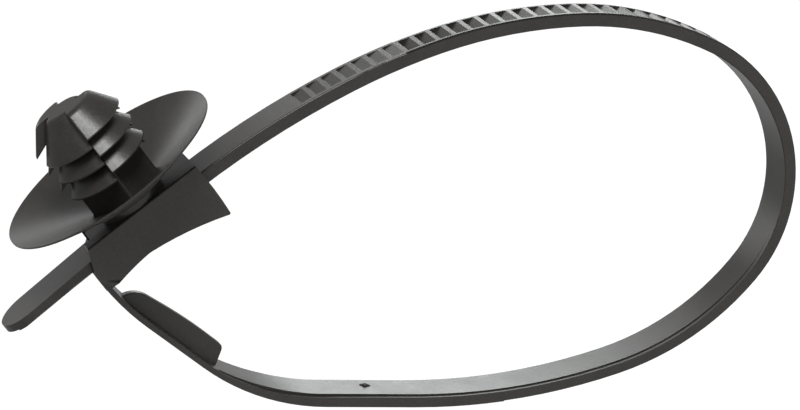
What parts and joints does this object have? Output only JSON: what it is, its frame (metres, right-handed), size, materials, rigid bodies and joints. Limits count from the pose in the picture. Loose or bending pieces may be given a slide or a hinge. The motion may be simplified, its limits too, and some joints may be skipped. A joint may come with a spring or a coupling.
{
  "type": "releasable cable tie",
  "caption": "Black releasable cable tie, threaded into an open loop, with a dished disc and a finned push-in stud on its head for fixing to a panel.",
  "frame": {"origin": "on the stud's axis, in the plane where the disc's rim meets the panel", "axes": "+Z along the stud to its nose, +X along the strap where it enters the head, with the loop below the head in the XZ plane"},
  "size_m": [0.0646, 0.0202, 0.0509],
  "materials": {
    "nylon": "satin moulded black nylon"
  },
  "bodies": {
    "root": {"cable_tie": "nylon"}
  },
  "joints": []
}
